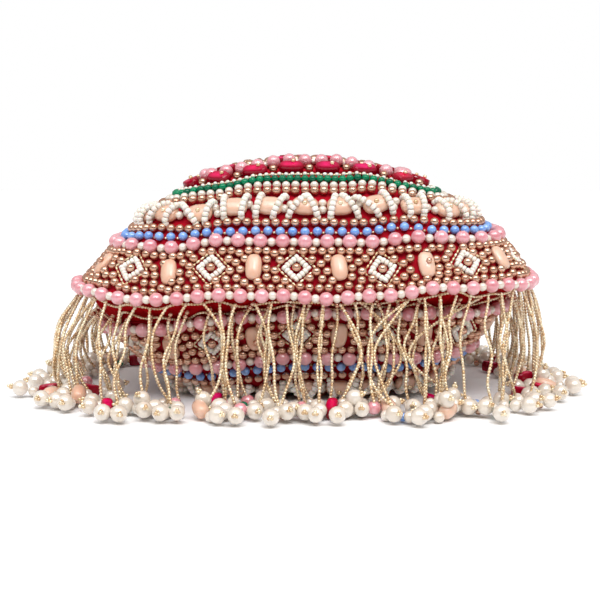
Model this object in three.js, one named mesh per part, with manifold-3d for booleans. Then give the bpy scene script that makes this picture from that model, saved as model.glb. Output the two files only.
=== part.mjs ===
// A beaded potli bag lying on its back panel: two domed cloth panels joined by a gusset,
// strings of beads round their edges, stones sewn to the front panel and a fringe in the seam.
// Millimetres, +Z up. The bag's bowed bottom faces -Y and its open mouth faces +Y.
// The origin is on the flat face that the bag rests on, under the middle of the panels.

import * as THREE from "three";
import { mergeVertices } from "three/addons/utils/BufferGeometryUtils.js";
import Module from "manifold-3d";

const wasm = await Module();
wasm.setup();

// Cloth panels: half width, reach from the middle to the bottom and to the mouth, and edge height.
// The edge is parted at the mouth, droops or dips on the left and is lifted on the right.
const FRONT = {
  halfWidth: 116.5,
  bottomReach: 72,
  mouthReach: 92,
  edgeZ: 57.6,
  mouthLift: 11,
  leftDroop: -0.8,
  leftDip: 3.2,
  rightLift: 4,
};
const BACK = {
  halfWidth: 104,
  bottomReach: 62,
  mouthReach: 86,
  edgeZ: 51.2,
  mouthLift: -9,
  leftDroop: 10.3,
  leftDip: 0,
  rightLift: 0,
};
const LIFT_START = 0.3;
const LIFT_END = 0.6;
const DIP_PLACE = 0.66;
const DIP_WIDTH = 0.14;
const APEX_Z = 123;
const DOME_POWER = 2.3;
const FULL_SIDE = { power: 2, root: 0.75 };
const BASE_SHARE = 0.5;
const BOWL_POWER = 1.8;
const WALL = 2.4;
const WALL_AT_EDGE = 3;

// Plan outline: squareness of a superellipse on each half, and the mouth's share of the turn
const BOTTOM_SQUARENESS = 3.5;
const MOUTH_SQUARENESS = 2.6;
const MOUTH_HALF_ANGLE = THREE.MathUtils.degToRad(42);
const JOIN_START = Math.PI / 2 + MOUTH_HALF_ANGLE;
const JOIN_END = (5 * Math.PI) / 2 - MOUTH_HALF_ANGLE;

// Mesh steps
const TURN_STEPS = 40;
const EDGE_STEPS = 120;
const DOME_ROWS = [1, 0.97, 0.9, 0.77, 0.57, 0.3];
const BOWL_ROWS = [1, 0.9, 0.78, 0.64, BASE_SHARE];
const JOIN_STEPS = 42;
const BEAD_SIDES = 10;
const TUBE_SIDES = 8;
const CUT_SIDES = 8;

// Gusset and the fringe's tape, a band sewn along the middle of the gusset
const GAP = 0.4;
const GUSSET_THICKNESS = 1.4;
const TAPE_THICKNESS = 1.2;
const TAPE_HALF_WIDTH = 1.3;

// Strings of round beads
const PINK_BEAD = 6.8;
const WHITE_BEAD = 3.8;
const BEAD_PITCH = 10.3;
const FRONT_STRING = { outset: 3.9, rise: 0.6 };
const BACK_STRING = { outset: 3.4, rise: -2.9 };
const RING_DISTANCE = 27.8;

// Sewn stones: distance from the panel's edge along the cloth, and their size
const OVALS = { count: 14, distance: 14.5, width: 8, length: 13, height: 4.2, shift: 0.4 };
const STONES = { count: 18, distance: 77, width: 7.6, length: 12, height: 4, shift: 0.62 };

// Fringe: locks of bead strings that hang from the tape and end in a pearl on the ground.
// The route gives a lock's distance out from the back panel's edge, its height and its width.
// Spread is the share of its sway, of the scatter of its foot and of the splay of the bag's two ends.
const LOCK_COUNT = 22;
const LOCK_ROOT_WIDTH = 6;
const LOCK_THICKNESS = 2;
const PEARL = 8.4;
const LOCK_ROUTE = [
  { out: 14.5, z: 49.6, spread: 0.1, width: 6 },
  { out: 17, z: 24, spread: 0.7, width: 5 },
  { out: 19, z: 7.5, spread: 1, width: 3.6 },
  { out: 25, z: 3.6, spread: 1, width: 2.4 },
];
const PEARL_OUT = 28.5;
const LOCK_SWAY = 3.5;
const FOOT_SCATTER = { least: 5, most: 9.5 };
const SPLAY = { left: 11, right: 4, power: 5 };

const COLOURS = {
  cloth: "#a3081f",
  velvet: "#8a0418",
  pink: "#f2a9c0",
  peach: "#efbb98",
  ruby: "#b3103f",
  gold: "#d8b878",
};

const material = (colour, roughness, metalness = 0) =>
  new THREE.MeshStandardMaterial({ color: COLOURS[colour], roughness, metalness });

// Closed surface through rings of points. A ring of one point is a pole.
function loftRings(rings, { joinEnds = false } = {}) {
  const positions = [];
  const starts = [];
  for (const ring of rings) {
    starts.push(positions.length / 3);
    for (const p of ring) positions.push(p.x, p.y, p.z);
  }
  const index = [];
  const last = joinEnds ? rings.length : rings.length - 1;
  for (let row = 0; row < last; row += 1) {
    const next = (row + 1) % rings.length;
    const sides = Math.max(rings[row].length, rings[next].length);
    for (let side = 0; side < sides; side += 1) {
      const at = (ring, step) => starts[ring] + ((side + step) % rings[ring].length);
      index.push(at(row, 0), at(row, 1), at(next, 1));
      index.push(at(row, 0), at(next, 1), at(next, 0));
    }
  }
  const proper = [];
  for (let i = 0; i < index.length; i += 3) {
    const [a, b, c] = index.slice(i, i + 3);
    if (a !== b && b !== c && c !== a) proper.push(a, b, c);
  }
  const geometry = new THREE.BufferGeometry();
  geometry.setAttribute("position", new THREE.Float32BufferAttribute(positions, 3));
  geometry.setIndex(proper);
  return geometry;
}

const middle = (ring) =>
  ring.reduce((sum, p) => sum.add(p), new THREE.Vector3()).divideScalar(ring.length);

// The same with each end closed by a fan.
const loftCapped = (rings) => loftRings([[middle(rings[0])], ...rings, [middle(rings.at(-1))]]);

function toSolid(geometry) {
  const plain = new THREE.BufferGeometry();
  plain.setAttribute("position", geometry.getAttribute("position"));
  plain.setIndex(geometry.getIndex());
  const merged = mergeVertices(plain, 1e-4);
  return new wasm.Manifold(
    new wasm.Mesh({
      numProp: 3,
      vertProperties: new Float32Array(merged.getAttribute("position").array),
      triVerts: new Uint32Array(merged.getIndex().array),
    }),
  );
}

// Joins overlapping closed geometries into one body.
function fuse(geometries) {
  const whole = geometries.map(toSolid).reduce((all, solid) => all.add(solid));
  const mesh = whole.getMesh();
  const geometry = new THREE.BufferGeometry();
  geometry.setAttribute("position", new THREE.BufferAttribute(mesh.vertProperties, 3));
  geometry.setIndex(new THREE.BufferAttribute(mesh.triVerts, 1));
  return geometry;
}

// Reach and squareness of a panel's outline on the half that an angle points to.
const halfOutline = (panel, angle) =>
  Math.sin(angle) > 0
    ? { reach: panel.mouthReach, power: MOUTH_SQUARENESS }
    : { reach: panel.bottomReach, power: BOTTOM_SQUARENESS };

// Plan outline of a panel, as a radius from the middle of the bag.
function outlineRadius(panel, angle) {
  const { reach, power } = halfOutline(panel, angle);
  const across = Math.abs(Math.cos(angle) / panel.halfWidth) ** power;
  const along = Math.abs(Math.sin(angle) / reach) ** power;
  return (across + along) ** (-1 / power);
}

// Share of a step towards the middle that leads straight away from the panel's edge.
function straightShare(panel, angle) {
  const nudge = 1e-3;
  const radius = outlineRadius(panel, angle);
  const growth = outlineRadius(panel, angle + nudge) - outlineRadius(panel, angle - nudge);
  return radius / Math.hypot(radius, growth / (2 * nudge));
}

// Rises smoothly from 0 to 1 and stays there.
const ease = (value) => (1 - Math.cos(Math.PI * THREE.MathUtils.clamp(value, 0, 1))) / 2;

// Height of a panel's edge: nearly level where the panels are joined, and parted at the mouth.
function edgeHeight(panel, angle) {
  const fromMouth = Math.abs(THREE.MathUtils.euclideanModulo(angle, 2 * Math.PI) - Math.PI / 2);
  const share = Math.min(fromMouth / MOUTH_HALF_ANGLE, 1);
  const lift = panel.mouthLift * Math.cos((share * Math.PI) / 2) ** 2;
  const right = (outlineRadius(panel, angle) * Math.cos(angle)) / panel.halfWidth;
  const droop = panel.leftDroop * ease(-right);
  const dip = panel.leftDip * Math.exp(-(((right + DIP_PLACE) / DIP_WIDTH) ** 2));
  const raised = panel.rightLift * ease((right - LIFT_START) / (LIFT_END - LIFT_START));
  return panel.edgeZ + lift - droop - dip + raised;
}

const planPoint = (radius, angle, z) =>
  new THREE.Vector3(radius * Math.cos(angle), radius * Math.sin(angle), z);

// Share of the front panel's height above its edge. The right side is fuller.
function domeRise(angle, share) {
  const side = Math.max(Math.cos(angle), 0) ** 2;
  const power = DOME_POWER + (FULL_SIDE.power - DOME_POWER) * side;
  return (1 - share ** power) ** (1 + (FULL_SIDE.root - 1) * side);
}

// Front panel: a dome that rises from its edge. Share is 1 at the edge and 0 in the middle.
function domePoint(angle, share, inside = false) {
  const radius = outlineRadius(FRONT, angle) - (inside ? WALL_AT_EDGE : 0);
  const top = APEX_Z - (inside ? WALL : 0);
  const rise = domeRise(angle, share);
  return planPoint(radius * share, angle, edgeHeight(FRONT, angle) * (1 - rise) + top * rise);
}

// Back panel: a bowl with a flat base where it is pressed on the ground.
function bowlPoint(angle, share, inside = false) {
  const radius = outlineRadius(BACK, angle) - (inside ? WALL_AT_EDGE : 0);
  const floor = inside ? WALL : 0;
  const slope = Math.max((share - BASE_SHARE) / (1 - BASE_SHARE), 0) ** BOWL_POWER;
  return planPoint(radius * share, angle, floor + (edgeHeight(BACK, angle) - floor) * slope);
}

const turn = (count, from = 0, to = 2 * Math.PI) =>
  Array.from({ length: count }, (_, i) => from + ((to - from) * i) / count);

// Angles round a panel, closer together where its outline turns.
const outlineAngles = (panel) =>
  turn(TURN_STEPS).map((step) => {
    const { reach, power } = halfOutline(panel, step);
    const bend = (value) => Math.sign(value) * Math.abs(value) ** (2 / power);
    return Math.atan2(reach * bend(Math.sin(step)), panel.halfWidth * bend(Math.cos(step)));
  });

// Wall between an outer and an inner surface that meet along the panel's edge.
function panelWall(panel, point, rows, upwards) {
  const angles = outlineAngles(panel);
  const ring = (share, inside) => angles.map((angle) => point(angle, share, inside));
  const outer = rows.map((share) => ring(share, false));
  const inner = rows.map((share) => ring(share, true));
  const rings = [[point(0, 0, true)], ...inner.reverse(), ...outer, [point(0, 0, false)]];
  return loftRings(upwards ? rings : rings.reverse());
}

// Curve along a panel's joined edge, from one corner of the mouth round the bottom to the other.
function joinedEdge(panel, { outset = 0, rise = 0 } = {}) {
  const angles = turn(EDGE_STEPS, JOIN_START, JOIN_END);
  angles.push(JOIN_END);
  const nudge = 1e-3;
  const edge = (angle) => planPoint(outlineRadius(panel, angle), angle, edgeHeight(panel, angle));
  const points = angles.map((angle) => {
    const along = edge(angle + nudge).sub(edge(angle - nudge));
    const out = new THREE.Vector3(along.y, -along.x, 0).normalize();
    return edge(angle).addScaledVector(out, outset).setZ(edgeHeight(panel, angle) + rise);
  });
  return new THREE.CatmullRomCurve3(points);
}

// Place on a curve at a length along it, with directions along the curve, outwards and up.
function station(curve, share) {
  const along = curve.getTangentAt(share);
  const out = new THREE.Vector3(along.y, -along.x, 0).normalize();
  return { point: curve.getPointAt(share), along, out, up: out.clone().cross(along) };
}

// Round section at a station.
const roundSection = ({ point, out, up }, radius, sides) =>
  turn(sides).map((angle) =>
    point
      .clone()
      .addScaledVector(out, radius * Math.cos(angle))
      .addScaledVector(up, -radius * Math.sin(angle)),
  );

// String of pink beads with a white bead in each gap, as one turned body along a curve.
function beadString(curve) {
  const length = curve.getLength();
  const count = Math.round(length / BEAD_PITCH);
  const pitch = length / count;
  const profile = [
    { along: 0, radius: WHITE_BEAD / 2 },
    { along: pitch / 2 - 0.28 * PINK_BEAD, radius: 0.47 * PINK_BEAD },
    { along: pitch / 2 + 0.28 * PINK_BEAD, radius: 0.47 * PINK_BEAD },
  ];
  const rings = [];
  for (let bead = 0; bead < count; bead += 1) {
    for (const { along, radius } of profile) {
      rings.push(roundSection(station(curve, (bead * pitch + along) / length), radius, BEAD_SIDES));
    }
  }
  rings.push(roundSection(station(curve, 1), WHITE_BEAD / 2, BEAD_SIDES));
  return loftCapped(rings);
}

// Plain tube of a string's diameter along a curve.
function stringTube(curve, steps) {
  const stations = Array.from({ length: steps + 1 }, (_, i) => station(curve, i / steps));
  return loftCapped(stations.map((place) => roundSection(place, PINK_BEAD / 2, TUBE_SIDES)));
}

// Line of the seam between the panels: its middle, and directions along it, up it and away from it.
function seamStations() {
  const upper = joinedEdge(FRONT, { outset: -WALL_AT_EDGE / 2, rise: -GAP });
  const lower = joinedEdge(BACK, { outset: -WALL_AT_EDGE / 2, rise: GAP });
  return (share) => {
    const top = station(upper, share);
    const bottom = station(lower, share);
    const rise = top.point.clone().sub(bottom.point).normalize();
    const away = bottom.along.clone().cross(rise).normalize();
    const centre = top.point.clone().add(bottom.point).divideScalar(2);
    return { top, bottom, centre, rise, away };
  };
}

// Strip between the two panels, with a small gap to each.
function gussetStrip() {
  const seam = seamStations();
  const half = GUSSET_THICKNESS / 2;
  const sections = [];
  for (let i = 0; i <= JOIN_STEPS; i += 1) {
    const { top, bottom } = seam(i / JOIN_STEPS);
    sections.push([
      top.point.clone().addScaledVector(top.out, -half),
      top.point.clone().addScaledVector(top.out, half),
      bottom.point.clone().addScaledVector(bottom.out, half),
      bottom.point.clone().addScaledVector(bottom.out, -half),
    ]);
  }
  return loftCapped(sections);
}

// Place on the front panel at a distance straight from its edge along the cloth,
// with its surface directions.
function domeStation(angle, distance) {
  const step = 0.004;
  const straight = straightShare(FRONT, angle);
  let share = 1;
  let walked = 0;
  while (walked < distance && share > step) {
    const move = domePoint(angle, share - step).sub(domePoint(angle, share));
    walked += Math.hypot(straight * Math.hypot(move.x, move.y), move.z);
    share -= step;
  }
  const nudge = 1e-3;
  const point = domePoint(angle, share);
  const round = domePoint(angle + nudge, share).sub(point).normalize();
  const inwards = domePoint(angle, share - nudge).sub(point).normalize();
  const normal = round.clone().cross(inwards).normalize();
  return { point, round, inwards: normal.clone().cross(round), normal };
}

// Closed ring on the front panel at a distance from its edge, at a height above the cloth.
const domeRing = (distance, height) =>
  outlineAngles(FRONT).map((angle) => {
    const place = domeStation(angle, distance);
    place.point.addScaledVector(place.normal, height);
    return place;
  });

// Tube of the pink string's diameter sewn round the front panel.
function ringTube() {
  const places = domeRing(RING_DISTANCE, PINK_BEAD / 2 + GAP);
  const sections = places.map(({ point, inwards, normal }) =>
    roundSection({ point, out: inwards, up: normal }, PINK_BEAD / 2, TUBE_SIDES),
  );
  return loftRings(sections.reverse(), { joinEnds: true });
}

// Places spaced evenly round the front panel at a distance from its edge.
function evenDomePlaces({ count, distance, shift = 0 }) {
  const fine = 360;
  const ring = turn(fine).map((angle) => domeStation(angle - Math.PI / 2, distance).point);
  const curve = new THREE.CatmullRomCurve3(ring, true);
  return turn(count, 0, 1).map((share) => {
    const t = curve.getUtoTmapping((share + shift / count) % 1);
    return domeStation(2 * Math.PI * t - Math.PI / 2, distance);
  });
}

// Layers of a stone above the cloth: share of its height and of its plan size.
const CUT_LAYERS = [
  { height: 0, size: 0.9 },
  { height: 0.35, size: 1 },
  { height: 1, size: 0.62 },
];
const OVAL_LAYERS = [
  { height: 0, size: 0.84 },
  { height: 0.5, size: 1 },
  { height: 0.9, size: 0.7 },
];

// Stone with flat sides standing on a place: across and along are its plan directions.
function stone({ point, normal }, across, along, size, layers, sides, lift) {
  const rings = layers.map((layer) =>
    turn(sides).map((angle) =>
      point
        .clone()
        .addScaledVector(normal, lift + layer.height * size.height)
        .addScaledVector(across, (layer.size * size.width * Math.cos(angle)) / 2)
        .addScaledVector(along, (layer.size * size.length * Math.sin(angle)) / 2),
    ),
  );
  return loftCapped(rings);
}

// Peach oval, its long side up the panel.
const peachOval = (place) =>
  stone(place, place.round, place.inwards, OVALS, OVAL_LAYERS, BEAD_SIDES, GAP);

// Red cut stone with a table and eight sides, its long side round the panel.
const redStone = (place) =>
  stone(place, place.inwards.clone().negate(), place.round, STONES, CUT_LAYERS, CUT_SIDES, GAP);

// Tape with its locks and their pearls, as one body.
function fringe() {
  const seam = seamStations();
  const inner = GUSSET_THICKNESS / 2 + GAP;
  const sections = [];
  for (let i = 0; i <= JOIN_STEPS; i += 1) {
    const { centre, rise, away } = seam(i / JOIN_STEPS);
    const corner = (depth, height) =>
      centre.clone().addScaledVector(away, depth).addScaledVector(rise, height);
    sections.push([
      corner(inner, TAPE_HALF_WIDTH),
      corner(inner + TAPE_THICKNESS, TAPE_HALF_WIDTH),
      corner(inner + TAPE_THICKNESS, -TAPE_HALF_WIDTH),
      corner(inner, -TAPE_HALF_WIDTH),
    ]);
  }
  const parts = [loftCapped(sections)];
  for (let lock = 0; lock < LOCK_COUNT; lock += 1) {
    const place = seam((lock + 0.6) / (LOCK_COUNT + 0.2));
    const root = place.centre.clone().addScaledVector(place.away, inner + TAPE_THICKNESS / 2);
    parts.push(...hangingLock(lock, place.bottom, root));
  }
  return fuse(parts);
}

// One lock, from its root in the tape to its pearl. Sway leans it along the seam,
// and the feet lie by turns further out and further in.
function hangingLock(lock, { point: edge, along, out: outwards }, root) {
  const level = along.clone().setZ(0).normalize();
  const sway = LOCK_SWAY * Math.sin(2.4 * lock + 0.7);
  const reach = THREE.MathUtils.lerp(FOOT_SCATTER.least, FOOT_SCATTER.most, Math.sin(1.7 * lock) ** 2);
  const scatter = lock % 2 === 0 ? reach : -reach;
  const end = Math.abs(edge.x / BACK.halfWidth) ** SPLAY.power;
  const splay = end * (edge.x < 0 ? SPLAY.left : SPLAY.right);
  const at = (out, z, spread) =>
    new THREE.Vector3(edge.x, edge.y, z)
      .addScaledVector(outwards, out + (scatter + splay) * spread)
      .addScaledVector(level, sway * spread);
  const route = [root, ...LOCK_ROUTE.map(({ out, z, spread }) => at(out, z, spread))];
  const widths = [LOCK_ROOT_WIDTH, ...LOCK_ROUTE.map(({ width }) => width)];
  const curve = new THREE.CatmullRomCurve3(route);
  const sections = route.map((point, i) => {
    const down = curve.getTangent(i / (route.length - 1));
    const face = level.clone().cross(down).normalize();
    const corner = (side, depth) =>
      point
        .clone()
        .addScaledVector(level, (side * widths[i]) / 2)
        .addScaledVector(face, (depth * LOCK_THICKNESS) / 2);
    return [corner(-1, -1), corner(-1, 1), corner(1, 1), corner(1, -1)];
  });
  const pearl = new THREE.SphereGeometry(PEARL / 2, BEAD_SIDES, 4);
  pearl.rotateX(Math.PI / 2);
  const foot = at(PEARL_OUT, PEARL / 2, 1);
  pearl.translate(foot.x, foot.y, foot.z);
  return [loftCapped(sections), pearl];
}

const bag = new THREE.Group();

function addPiece(name, geometry, finish) {
  const mesh = new THREE.Mesh(geometry, finish);
  mesh.name = name;
  bag.add(mesh);
}

addPiece("front_panel", panelWall(FRONT, domePoint, DOME_ROWS, true), material("cloth", 0.85));
addPiece("back_panel", panelWall(BACK, bowlPoint, BOWL_ROWS, false), material("cloth", 0.85));
addPiece("gusset", gussetStrip(), material("velvet", 0.95));
addPiece("front_edge_beads", beadString(joinedEdge(FRONT, FRONT_STRING)), material("pink", 0.2));
addPiece("back_edge_beads", stringTube(joinedEdge(BACK, BACK_STRING), 30), material("pink", 0.2));
addPiece("front_ring_beads", ringTube(), material("pink", 0.2));
const numbered = (name, i) => `${name}_${String(i + 1).padStart(2, "0")}`;
evenDomePlaces(OVALS).forEach((place, i) => {
  addPiece(numbered("peach_oval", i), peachOval(place), material("peach", 0.4));
});
evenDomePlaces(STONES).forEach((place, i) => {
  addPiece(numbered("red_stone", i), redStone(place), material("ruby", 0.15));
});
addPiece("fringe", fringe(), material("gold", 0.35, 0.7));

export default bag;
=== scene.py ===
# A beaded half-moon potli bag lying on its back panel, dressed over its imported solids.
# Metres, +Z up. The bag's bowed bottom faces -Y, towards the camera, and its mouth faces +Y.
import math
from collections import namedtuple

import bpy
import numpy as np
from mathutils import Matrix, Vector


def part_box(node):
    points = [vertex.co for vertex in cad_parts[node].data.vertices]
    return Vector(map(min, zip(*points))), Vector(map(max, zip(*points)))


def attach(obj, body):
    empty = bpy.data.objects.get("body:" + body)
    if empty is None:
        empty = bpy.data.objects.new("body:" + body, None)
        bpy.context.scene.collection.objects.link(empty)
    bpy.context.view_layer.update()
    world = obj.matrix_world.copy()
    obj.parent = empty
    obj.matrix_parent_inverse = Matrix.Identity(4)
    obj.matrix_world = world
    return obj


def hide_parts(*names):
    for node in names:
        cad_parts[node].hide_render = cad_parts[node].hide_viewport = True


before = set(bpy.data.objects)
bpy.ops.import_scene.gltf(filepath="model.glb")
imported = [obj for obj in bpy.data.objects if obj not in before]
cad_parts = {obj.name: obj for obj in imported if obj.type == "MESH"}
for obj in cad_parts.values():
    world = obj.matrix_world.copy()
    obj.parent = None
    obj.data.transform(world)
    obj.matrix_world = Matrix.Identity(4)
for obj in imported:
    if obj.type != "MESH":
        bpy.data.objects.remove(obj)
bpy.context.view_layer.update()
MM = 0.001
TAU = 2 * math.pi

# Stage: a white paper sweep under soft studio light, which isn't part of the bag. Two wide softboxes and a
# smaller lamp shine from in front and above, and the room behind the camera is dark, so that polished beads
# have a dark side. The camera is level with the bag's top and looks a little down at its bottom edge.
PICTURE_SIDE = 600
FOCAL_PIXELS = 1050
HORIZON_ROW = 173
BAG_COLUMN = 305
EYE = (0, -575 * MM, 117 * MM)
SENSOR = 36
FLOOR_SIDE = 12
SKY_TOP = 0.62
SKY_LOW = 0.42
ROOM_DARK = 0.1
ROOM_START = 0.45
ROOM_END = 0.9
SKY_SEEN = 1.0
# Angles in degrees
LAMPS = (
    {"strength": 1.15, "spread": 40, "down": 32, "turn": -38},
    {"strength": 1.5, "spread": 40, "down": 32, "turn": 34},
    {"strength": 0.65, "spread": 16, "down": 40, "turn": 8},
)


def add(tree, kind, inputs=None, **settings):
    """Adds a node with its settings, and sets or links its inputs by name or number."""
    made = tree.nodes.new(kind)
    for name, value in settings.items():
        setattr(made, name, value)
    for name, value in (inputs or {}).items():
        if isinstance(value, bpy.types.NodeSocket):
            tree.links.new(value, made.inputs[name])
        else:
            made.inputs[name].default_value = value
    return made


def linear(colour):
    """An sRGB hex colour as linear RGBA."""
    parts = [int(colour[i : i + 2], 16) / 255 for i in (1, 3, 5)]
    return (*[p / 12.92 if p <= 0.04045 else ((p + 0.055) / 1.055) ** 2.4 for p in parts], 1)


def shaded(name, sockets):
    """A new material with its shader's own sockets set, its node tree and its shader."""
    material = bpy.data.materials.new(name)
    material.use_nodes = True
    shader = material.node_tree.nodes["Principled BSDF"]
    for label, value in sockets.items():
        shader.inputs[label].default_value = value
    return material, material.node_tree, shader


def put_in_scene(name, data):
    made = bpy.data.objects.new(name, data)
    bpy.context.scene.collection.objects.link(made)
    return made


camera = put_in_scene("camera", bpy.data.cameras.new("camera"))
camera.data.sensor_width = SENSOR
camera.data.lens = SENSOR * FOCAL_PIXELS / PICTURE_SIDE
camera.data.shift_x = (PICTURE_SIDE / 2 - BAG_COLUMN) / PICTURE_SIDE
camera.data.clip_start = 0.01
camera.location = EYE
tilt = math.atan((PICTURE_SIDE / 2 - HORIZON_ROW) / FOCAL_PIXELS)
camera.rotation_euler = (TAU / 4 - tilt, 0, 0)
bpy.context.scene.camera = camera
bpy.context.scene.view_settings.view_transform = "Standard"

world = bpy.data.worlds.new("studio")
world.use_nodes = True
sky_tree = world.node_tree
bpy.context.scene.world = world
sky_tree.nodes.clear()
sky_way = add(sky_tree, "ShaderNodeTexCoord")
sky_height = add(sky_tree, "ShaderNodeSeparateXYZ", {0: sky_way.outputs["Generated"]})
sky_fade = add(sky_tree, "ShaderNodeMapRange", {0: sky_height.outputs["Z"], 3: SKY_LOW, 4: SKY_TOP})
room_fade = add(
    sky_tree,
    "ShaderNodeMapRange",
    {0: sky_height.outputs["Y"], 1: -ROOM_START, 2: -ROOM_END, 3: 1.0, 4: ROOM_DARK},
    interpolation_type="SMOOTHSTEP",
)
fades = {0: sky_fade.outputs[0], 1: room_fade.outputs[0]}
sky_lit = add(sky_tree, "ShaderNodeMath", fades, operation="MULTIPLY")
sky_light = add(sky_tree, "ShaderNodeBackground", {"Strength": sky_lit.outputs[0]})
sky_seen = add(sky_tree, "ShaderNodeBackground", {"Strength": SKY_SEEN})
for sky in (sky_light, sky_seen):
    sky.inputs["Color"].default_value = linear("#ffffff")
rays = add(sky_tree, "ShaderNodeLightPath")
skies = {0: rays.outputs["Is Camera Ray"], 1: sky_light.outputs[0], 2: sky_seen.outputs[0]}
sky_mix = add(sky_tree, "ShaderNodeMixShader", skies)
add(sky_tree, "ShaderNodeOutputWorld", {"Surface": sky_mix.outputs[0]})

for number, lamp in enumerate(LAMPS):
    sun = put_in_scene(f"softbox {number}", bpy.data.lights.new(f"softbox {number}", "SUN"))
    sun.data.energy = lamp["strength"]
    sun.data.angle = math.radians(lamp["spread"])
    sun.rotation_euler = (math.radians(lamp["down"]), 0, math.radians(lamp["turn"]))

floor_mesh = bpy.data.meshes.new("floor")
reach = FLOOR_SIDE / 2
floor_mesh.from_pydata(
    [(-reach, -reach, 0), (reach, -reach, 0), (reach, reach, 0), (-reach, reach, 0)], [], [(0, 1, 2, 3)]
)
floor = put_in_scene("floor", floor_mesh)
paper, paper_tree, paper_shader = shaded("matt white paper", {"Roughness": 0.9})
paper_fibre = add(paper_tree, "ShaderNodeTexNoise", {"Scale": 1 / (40 * MM), "Detail": 2})
paper_tones = {0: paper_fibre.outputs["Fac"], 6: linear("#f4f5f7"), 7: linear("#f8f8f8")}
paper_tone = add(paper_tree, "ShaderNodeMix", paper_tones, data_type="RGBA")
paper_tree.links.new(paper_tone.outputs[2], paper_shader.inputs["Base Color"])
floor_mesh.materials.append(paper)

# Cloth panels: the bag's two sides, each a piece of red raw silk shaped into a shallow dome over wadding.
# The front panel is fuller on the right, and both edges droop on the left. The back panel is pressed flat
# where the bag lies on it, and its own beads hold its cloth off the ground there.
FRONT_EDGE = {
    "height": 57.6 * MM,
    "mouth_lift": 11 * MM,
    "droop": -0.8 * MM,
    "dip": 3.2 * MM,
    "lift": 4 * MM,
}
BACK_EDGE = {"height": 51.2 * MM, "mouth_lift": -9 * MM, "droop": 10.3 * MM, "dip": 0, "lift": 0}
LIFT_START = 0.3
LIFT_END = 0.6
DIP_PLACE = 0.66
DIP_WIDTH = 0.14
BOTTOM_SQUARENESS = 3.5
MOUTH_SQUARENESS = 2.6
MOUTH_HALF_ANGLE = math.radians(42)
JOIN_START = TAU / 4 + MOUTH_HALF_ANGLE
JOIN_END = 5 * TAU / 4 - MOUTH_HALF_ANGLE
DOME_POWER = 2.3
FULL_POWER = 2.0
FULL_ROOT = 0.75
BASE_SHARE = 0.5
BOWL_POWER = 1.8
BASE_BEADS = 4.4 * MM
CLOTH_WALL = 2.2 * MM
CLOTH_ROUND = 200
CLOTH_ROWS = 60
CLOTH_SPACING = 1.5
CLOTH_REACH = 0.99
CLOTH_PUCKER = 0.3 * MM
PUCKER_ROUND = 17 * MM
PUCKER_DOWN = 13 * MM
EDGE_ROLL = 0.4
SAG = 3.2 * MM
SAG_PLACE = 0.55
SAG_WIDTH = 0.22
SAG_FULL = 14 * MM
SILK_THREAD = 0.7 * MM
TURN_STEPS = 721
SHARE_STEPS = 401
SHARE_SPACING = 1.6
FROM_BOTTOM = np.linspace(-TAU / 4, 3 * TAU / 4, TURN_STEPS)
Place = namedtuple("Place", "point round inwards normal")


def unit(vectors):
    return vectors / np.linalg.norm(vectors, axis=-1, keepdims=True)


def paced(points):
    """How far along a line each of its points lies."""
    return np.append(0, np.cumsum(np.linalg.norm(np.diff(points, axis=0), axis=1)))


def ease(value):
    """Rises smoothly from 0 to 1 and stays there."""
    return (1 - np.cos(TAU / 2 * np.clip(value, 0, 1))) / 2


def wander(position, seed):
    """A smooth random line between about -1 and 1, one wave to each unit of position."""
    draw = np.random.default_rng(seed)
    waves = [(speed, draw.uniform(0, TAU)) for speed in (0.61, 1.0, 1.73)]
    return sum(np.sin(TAU * speed * position + phase) for speed, phase in waves) / 2


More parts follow.
